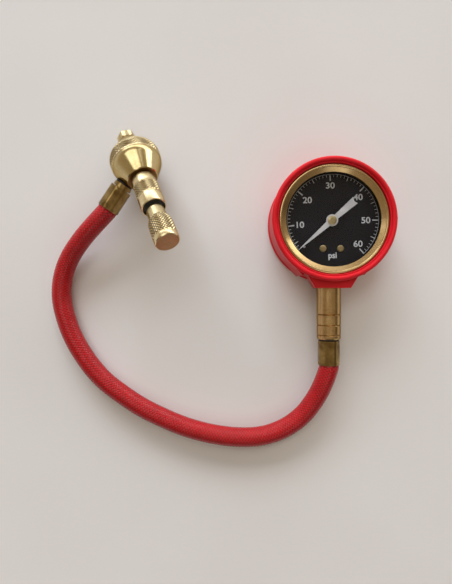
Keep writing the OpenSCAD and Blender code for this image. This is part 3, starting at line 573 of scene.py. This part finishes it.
def knurl(obj, band, columns, height):
    """Raises every other point of a band, so that its squares become diamond points, and marks
    the points between them as its valleys."""
    inner = np.array(band[1:-1])
    picked, low = [], []
    for vertex in obj.data.vertices:
        x, y, z = vertex.co / MM
        away = np.hypot(inner[:, 0] - math.hypot(x, y), inner[:, 1] - z)
        row = int(away.argmin())
        column = round(math.atan2(y, x) / (math.pi / columns))
        in_band = bool(away[row] < BAND_SLACK)
        picked.append(in_band and (row + column) % 2 == 0)
        low.append(float(in_band and (row + column) % 2 == 1))
    obj.data.vertices.foreach_set("select", picked)
    obj.data.edges.foreach_set("select", [False] * len(obj.data.edges))
    obj.data.polygons.foreach_set("select", [False] * len(obj.data.polygons))
    edit(obj)
    bpy.ops.transform.shrink_fatten(value=height * MM)
    bpy.ops.mesh.select_more()
    bpy.ops.mesh.quads_convert_to_tris(quad_method="SHORTEST_DIAGONAL")
    bpy.ops.object.mode_set(mode="OBJECT")
    # The valleys, which the turned metal's finish darkens with painted shade
    valley = obj.data.attributes.new("valley", "FLOAT", "POINT")
    valley.data.foreach_set("value", low)


# ---- Hose ----

STRANDS = 13
BRAID_PITCH = 1.9
HOSE_RADIUS = 6.3
BRAID_DEPTH = 0.32
STRAND_ROUNDNESS = 0.9
RINGS_PER_PITCH = 5
SIDES_PER_STRAND = 8
CURVE_STEPS = 40
# The hose port leaves the head's axis at its root, turned about that axis and tilted from it
PORT_ROOT = 29.3
PORT_TURN = math.radians(-70)
PORT_TILT = math.radians(65)


def port_point(distance):
    """A place on the hose port's axis, at a distance from its root, in millimetres."""
    port = Matrix.Rotation(PORT_TURN, 4, "Z") @ Matrix.Rotation(PORT_TILT, 4, "Y")
    local = Vector((0, 0, PORT_ROOT)) + port @ Vector((0, 0, distance))
    return HEAD_PLACE / MM + HEAD_MATRIX @ local


# The middle of the hose, from inside the gauge's ferrule to inside the head's port
HOSE_ROUTE = [Vector(place) for place in [
    (0, -77.4, 14.5), (0, -91.7, 14.5), (0, -93.7, 14.5),
    (-1.8, -100, 13.7), (-5.2, -109, 11.8), (-10, -118, 9.8), (-17, -127, 8), (-28, -135, 7),
    (-42, -140, 6.5), (-58, -141, 6.4), (-75, -139, 6.4), (-92, -134.6, 6.4),
    (-107, -128.6, 6.4), (-122, -121.2, 6.4), (-136, -112, 6.4), (-148, -102.4, 6.4),
    (-158.5, -90, 6.4), (-167.5, -75, 6.4), (-173, -60, 6.4), (-175.3, -47, 6.5),
    (-173.8, -34, 7.3), (-168.7, -22, 9.2), (-160.3, -11, 12.4), (-151.9, -2.5, 15.4)]]
HOSE_ROUTE += [port_point(35.8), port_point(33.8), port_point(19.5)]


def hose_line(spacing):
    """The smooth curve through the route, as points about spacing apart, and how far along it
    each of them is, in millimetres."""
    dense = []
    last = len(HOSE_ROUTE) - 1
    for i in range(last):
        before, start = HOSE_ROUTE[max(i - 1, 0)], HOSE_ROUTE[i]
        end, after = HOSE_ROUTE[i + 1], HOSE_ROUTE[min(i + 2, last)]
        bend = 2 * before - 5 * start + 4 * end - after
        twist = 3 * start - before - 3 * end + after
        for step in range(CURVE_STEPS):
            t = step / CURVE_STEPS
            dense.append(0.5 * (2 * start + (end - before) * t + bend * t * t + twist * t ** 3))
    dense.append(HOSE_ROUTE[-1])
    dense = np.array(dense)
    run = np.concatenate([[0], np.cumsum(np.linalg.norm(np.diff(dense, axis=0), axis=1))])
    count = int(round(run[-1] / spacing))
    along = np.linspace(0, run[-1], count + 1)
    return np.stack([np.interp(along, run, dense[:, axis]) for axis in range(3)], axis=1), along


def ring_directions(points):
    """Two directions across the hose at every point, carried along it without a twist."""
    ways = np.gradient(points, axis=0)
    ways /= np.linalg.norm(ways, axis=1)[:, None]
    side = np.cross(ways[0], (0, 0, 1.0))
    first, second = [], []
    for way in ways:
        side = side - way * np.dot(side, way)
        side /= np.linalg.norm(side)
        first.append(side)
        second.append(np.cross(side, way))
    return np.array(first)[:, None, :], np.array(second)[:, None, :]


def braid_height(around, along):
    """0 in the gaps of the braid and 1 on top of its strands, at places counted in strands."""
    right, left = around + along, around - along
    right_strand, left_strand = np.floor(right), np.floor(left)
    lift_right = np.cos(np.pi * (left - 0.5 + right_strand))
    lift_left = -np.cos(np.pi * (right - 0.5 + left_strand))
    round_right = np.sqrt(1 - STRAND_ROUNDNESS * (2 * (right - right_strand) - 1) ** 2)
    round_left = np.sqrt(1 - STRAND_ROUNDNESS * (2 * (left - left_strand) - 1) ** 2)
    height = np.maximum(lift_right + round_right, lift_left + round_left)
    return (height - height.min()) / (height.max() - height.min())


def tube_faces(rings, sides):
    """The faces of a closed tube: its wall, ring by ring, and its two ends."""
    faces = []
    for ring in range(0, (rings - 1) * sides, sides):
        for side in range(sides):
            after = (side + 1) % sides
            faces.append((ring + side, ring + sides + side, ring + sides + after, ring + after))
    faces.append(tuple(range(sides)))
    faces.append(tuple((rings - 1) * sides + side for side in reversed(range(sides))))
    return faces


def braid_map(mesh, run, sides):
    """Counts the strands round the wall and the pitches along it, for the braid's finish."""
    layer = mesh.uv_layers.new(name="braid")
    places = np.zeros((len(mesh.loops), 2), np.float32)
    at = 0
    for low, high in zip(run[:-1] / BRAID_PITCH, run[1:] / BRAID_PITCH):
        for side in range(sides):
            left, right = side / SIDES_PER_STRAND, (side + 1) / SIDES_PER_STRAND
            places[at:at + 4] = ((left, low), (left, high), (right, high), (right, low))
            at += 4
    layer.data.foreach_set("uv", places.ravel())


def braided_hose():
    """The hose with its braid, from inside one ferrule to inside the other."""
    points, run = hose_line(BRAID_PITCH / RINGS_PER_PITCH)
    rings, sides = len(points), STRANDS * SIDES_PER_STRAND
    around = np.arange(sides)[None, :] / SIDES_PER_STRAND * np.ones((rings, 1))
    along = run[:, None] / BRAID_PITCH * np.ones((1, sides))
    radius = HOSE_RADIUS - BRAID_DEPTH * (1 - braid_height(around, along))
    turn = 2 * np.pi * np.arange(sides) / sides
    first, second = ring_directions(points)
    ring = np.cos(turn)[None, :, None] * first + np.sin(turn)[None, :, None] * second
    places = (points[:, None, :] + radius[:, :, None] * ring).reshape(-1, 3) * MM
    mesh = bpy.data.meshes.new("braided_hose")
    mesh.from_pydata(places.tolist(), [], tube_faces(rings, sides))
    braid_map(mesh, run, sides)
    obj = bpy.data.objects.new("braided_hose", mesh)
    bpy.context.scene.collection.objects.link(obj)
    edit(obj)
    bpy.ops.mesh.select_all(action="SELECT")
    bpy.ops.mesh.normals_make_consistent(inside=False)
    bpy.ops.object.mode_set(mode="OBJECT")
    bpy.ops.object.shade_smooth()
    dress(obj, RED_BRAID)
    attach(obj, "gauge_hose_and_head")
    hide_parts("hose")


# ---- Pressure head ----

KNURL_SMOOTHING = 25
NUT_COLUMNS = 50
NUT_KNURL = 0.34
NOSE_TOP = 5.7
NOSE_ACROSS_FLATS = 10.8
NOSE_TURN = 10
NOSE_MOUTH = 4.5
THREAD_INNER = 3.5
THREAD_OUTER = 3.85
THREAD_PITCH = 0.85
THREAD_HALF = 0.42
THREAD_TURNS = 10
SLEEVE_RADIUS = 7.7
SLEEVE_COLUMNS = 24
KNOB_COLUMNS = 24
FINE_KNURL = 0.32
KNOB_END = 96.2
BODY_END = 43.2


def fit_on_head(obj):
    """Smooths a knurled piece and puts it on the head's axis, in the paler brass that paints on its
    highlight.
    """
    smooth(obj, KNURL_SMOOTHING)
    settle(obj, HEAD_PLACE, HEAD_TURN)
    dress(obj, PALE_HIGHLIGHT_BRASS)


def cut_hexagon(obj):
    """Cuts six flats round the nut's nose."""
    for vertex in obj.data.vertices:
        x, y, z = vertex.co / MM
        radius = math.hypot(x, y)
        if z > NOSE_TOP or radius < NOSE_MOUTH:
            continue
        off_flat = (math.degrees(math.atan2(y, x)) - NOSE_TURN) % 60 - 30
        limit = NOSE_ACROSS_FLATS / 2 / math.cos(math.radians(off_flat))
        if radius > limit:
            vertex.co.x *= limit / radius
            vertex.co.y *= limit / radius


def knurled_nut():
    """Swivel nut: hexagonal nose, diamond-knurled dome and a threaded bore."""
    nose = [(3.9, 0), (4.9, 0), (6.235, 1.1), (6.235, 5.6)]
    flank = line((5.6, 6.0), (10.3, 14.3), 3) + line((10.3, 14.3), (12.3, 18.0), 4)[1:]
    dome = arc((8.1, 25), 8, -57, 0, 8)
    rim = line((16.1, 25), (15.9, 28.9), 4)
    inside = [(15.6, 29.3), (8.0, 29.3), (8.0, 12.0), (6.0, 11.9), (6.0, 9.5), (THREAD_INNER, 9.4)]
    for turn in range(THREAD_TURNS, 0, -1):
        height = turn * THREAD_PITCH
        inside += [(THREAD_INNER, height + THREAD_HALF), (THREAD_OUTER, height)]
    profile = nose + flank + dome + rim[1:] + inside + [(THREAD_INNER, 0.4), (3.9, 0)]
    obj = turn_up("knurled_nut", profile, 2 * NUT_COLUMNS)
    cut_hexagon(obj)
    knurl(obj, flank[3:] + dome[1:] + rim[1:], NUT_COLUMNS, NUT_KNURL)
    fit_on_head(obj)
    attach(obj, "swivel_nut")
    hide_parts("swivel_nut")


def knurled_sleeve():
    """Sliding sleeve: a knurled band between two plain collars, on a bore with a step."""
    r = SLEEVE_RADIUS
    band = line((r - 0.15, 50.6), (r - 0.15, 60.1), 10)
    profile = [(6.5, 44.4), (r - 0.5, 44.4), (r - 0.15, 44.55), (r, 44.9), (r, 50.4)] + band
    profile += [(r - 0.4, 60.3), (r - 0.4, 60.8), (r, 61.0), (r, 68.0), (r - 0.12, 68.4),
                (r - 0.4, 68.7), (6.95, 68.7), (6.95, 55.3), (6.5, 55.3), (6.5, 44.4)]
    obj = turn_up("knurled_sleeve", profile, 2 * SLEEVE_COLUMNS)
    knurl(obj, band, SLEEVE_COLUMNS, FINE_KNURL)
    fit_on_head(obj)
    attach(obj, "vent_sleeve")
    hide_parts("slide_sleeve")


def knurled_knob():
    """Knob: a plain neck, a knurled grip that widens, a groove and a plain end collar."""
    grip = line((5.75, 78.0), (6.6, 79.8), 2) + line((6.6, 79.8), (7.15, 81.8), 3)[1:]
    grip += line((7.15, 81.8), (7.3, 83.6), 2)[1:] + line((7.3, 83.6), (7.3, 92.6), 9)[1:]
    profile = [(0, 71), (5.2, 71), (5.5, 71.12), (5.6, 71.4), (5.6, 77.6)] + grip
    profile += [(7.15, 92.7), (7.15, 93.1), (7.5, 93.3), (7.5, 95.3), (7.3, 95.85), (6.8, KNOB_END),
                (0, KNOB_END)]
    obj = turn_up("knurled_knob", profile, 2 * KNOB_COLUMNS)
    knurl(obj, grip, KNOB_COLUMNS, FINE_KNURL)
    fit_on_head(obj)
    # Painted shade on the knob's flat end
    shade_end(obj, KNOB_END, END_SHADE_BRASS)
    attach(obj, "core_tool")
    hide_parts("knob")


# ---- Dial ----

DIAL_FACE = 22.6
PRINT_TOP = 22.64
PRINT_MIDDLE = (DIAL_FACE + PRINT_TOP) / 2
PRINT_BEVEL = 0.01
SCALE_OFFSET = Vector((0.9, 0.5, 0)) * MM
SCALE_RADIUS = 28.7
SCALE_EDGE_INNER = 28.5
ZERO_ANGLE = 235.4
DEGREES_PER_PSI = 4.714
FIRST_TICK = 3
LAST_TICK = 60
# Width and inner radius of the ticks
TEN_TICK = (0.75, 24.6)
FIVE_TICK = (0.42, 25.8)
ONE_TICK = (0.30, 26.9)
FIGURE_PLACES = {"10": (-19.6, -2.6), "20": (-15.2, 12.9), "30": (-0.8, 22.1),
                 "40": (16.6, 14.8), "50": (21.5, 0.3), "60": (16.6, -14.5)}
UNIT_PLACE = (0.6, -22.4)
# Height, how wide against the plain letters, and how much thicker
FIGURE_STYLE = (3.85, 1.1, 0.10)
UNIT_STYLE = (3.7, 0.98, 0.14)
# The height of a figure as a share of its text size
FIGURE_SHARE = 0.72
FIGURE_TURN = math.radians(1.5)
FIGURE_WELD = 0.001


def scale_angle(psi):
    """Where a reading stands on the dial, as an angle off +X."""
    return math.radians(ZERO_ANGLE - DEGREES_PER_PSI * psi)


def tick(width, inner):
    """A printed mark along X, from the inner radius to the edge of the scale."""
    clear_selection()
    middle = Vector(((inner + SCALE_RADIUS) / 2, 0, PRINT_MIDDLE)) * MM
    bpy.ops.mesh.primitive_cube_add(size=1, location=middle)
    obj = bpy.context.object
    obj.name = "tick"
    obj.scale = ((SCALE_RADIUS - inner) * MM, width * MM, (PRINT_TOP - DIAL_FACE) * MM)
    bpy.ops.object.transform_apply(location=True, rotation=True, scale=True)
    edit(obj)
    bpy.ops.mesh.select_all(action="SELECT")
    bpy.ops.mesh.bevel(offset=PRINT_BEVEL * MM, segments=1)
    bpy.ops.object.mode_set(mode="OBJECT")
    return obj


def join(name, pieces):
    clear_selection()
    for piece in pieces:
        piece.select_set(True)
    bpy.context.view_layer.objects.active = pieces[0]
    bpy.ops.object.join()
    obj = bpy.context.object
    obj.name = name
    obj.data.name = name
    return obj


def dial_ticks():
    """The ticks of the scale and the line that they hang from, as one print."""
    marks = []
    for psi in range(FIRST_TICK, LAST_TICK + 1):
        if psi % 10 == 0:
            mark = tick(*TEN_TICK)
        elif psi % 5 == 0:
            mark = tick(*FIVE_TICK)
        else:
            mark = tick(*ONE_TICK)
        mark.rotation_euler = (0, 0, scale_angle(psi))
        bpy.ops.object.transform_apply(location=True, rotation=True, scale=True)
        marks.append(mark)
    obj = join("scale_ticks", marks + [scale_edge()])
    obj.location = SCALE_OFFSET
    clear_selection()
    obj.select_set(True)
    bpy.ops.object.transform_apply(location=True, rotation=True, scale=True)
    finish_mark(obj)


def scale_edge():
    """The thin line that the ticks hang from, between the first tick and the last."""
    inner, outer = SCALE_EDGE_INNER, SCALE_RADIUS
    profile = [(inner, DIAL_FACE), (outer, DIAL_FACE), (outer, PRINT_TOP), (inner, PRINT_TOP)]
    edge = turn_up("scale_edge", profile + profile[:1], 240)
    low, high = scale_angle(LAST_TICK), scale_angle(FIRST_TICK)
    edit(edge)
    bpy.ops.mesh.select_mode(type="FACE")
    bpy.ops.object.mode_set(mode="OBJECT")
    for polygon in edge.data.polygons:
        x, y, _ = polygon.center
        angle = math.atan2(y, x)
        while angle < low:
            angle += 2 * math.pi
        polygon.select = angle > high
    bpy.ops.object.mode_set(mode="EDIT")
    bpy.ops.mesh.delete(type="FACE")
    bpy.ops.mesh.select_mode(type="EDGE")
    bpy.ops.mesh.select_all(action="DESELECT")
    bpy.ops.mesh.select_non_manifold()
    bpy.ops.mesh.fill()
    bpy.ops.mesh.select_all(action="SELECT")
    bpy.ops.mesh.normals_make_consistent(inside=False)
    bpy.ops.object.mode_set(mode="OBJECT")
    return edge


def finish_mark(obj):
    """White print that rides with the dial."""
    dress(obj, MARK_WHITE)
    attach(obj, "gauge_hose_and_head")


def lettering(text, centre, height, width, weight):
    """Printed characters on the dial, as a mesh round their own middle, at a centre."""
    clear_selection()
    bpy.ops.object.text_add(location=(0, 0, 0))
    obj = bpy.context.object
    obj.data.body = text
    obj.data.align_x = "CENTER"
    obj.data.align_y = "CENTER"
    obj.data.size = height / FIGURE_SHARE * MM
    obj.data.offset = weight * MM
    obj.data.extrude = (PRINT_TOP - DIAL_FACE) / 2 * MM
    bpy.ops.object.convert(target="MESH")
    obj = bpy.context.object
    obj.name = "number"
    corners = np.array([vertex.co for vertex in obj.data.vertices])
    middle = (corners.min(0) + corners.max(0)) / 2
    edit(obj)
    bpy.ops.mesh.select_all(action="SELECT")
    bpy.ops.transform.translate(value=(-middle[0], -middle[1], -middle[2]))
    bpy.ops.transform.resize(value=(width, 1, 1), center_override=(0, 0, 0))
    bpy.ops.mesh.remove_doubles(threshold=FIGURE_WELD * MM)
    bpy.ops.mesh.normals_make_consistent(inside=False)
    bpy.ops.object.mode_set(mode="OBJECT")
    obj.location = Vector((centre[0], centre[1], PRINT_MIDDLE)) * MM
    obj.rotation_euler = (0, 0, FIGURE_TURN)
    bpy.ops.object.transform_apply(location=True, rotation=True, scale=True)
    return obj


def dial_numbers():
    """The numbers 10 to 60 and the unit, as one print."""
    made = [lettering(text, centre, *FIGURE_STYLE) for text, centre in FIGURE_PLACES.items()]
    made.append(lettering("psi", UNIT_PLACE, *UNIT_STYLE))
    finish_mark(join("scale_numbers", made))


# ---- Table ----

TABLE_SIZE = 4
TABLE_DROP = 0.00002
PAPER_DARK = (0.655, 0.62, 0.60)
PAPER_LIGHT = (0.695, 0.665, 0.645)


def paper_table():
    """The pale sheet that the object lies on."""
    clear_selection()
    bpy.ops.mesh.primitive_plane_add(size=TABLE_SIZE, location=(0, 0, -TABLE_DROP))
    table = bpy.context.object
    table.name = "table"
    paper, tree, shader = material("table_paper", 0.0, 0.75)
    tone = noise(tree, place_of(tree), scale=6)
    tree.links.new(ramp(tree, tone, [(0.3, PAPER_DARK), (0.7, PAPER_LIGHT)]), shader.inputs["Base Color"])
    dress(table, paper)


# ---- Assembly ----

set_camera()
set_world()
window_lamp()
paper_table()

for finish, names in NODE_FINISHES.items():
    for node_name in names:
        dress(NODES[node_name], finish)
# Painted shade on the valve body's flat end face
shade_end(NODES["valve_body"], BODY_END, SHADY_BRASS)

braided_hose()
knurled_nut()
knurled_sleeve()
knurled_knob()
dial_ticks()
dial_numbers()

bpy.context.scene.view_settings.view_transform = "Standard"
bpy.context.view_layer.update()
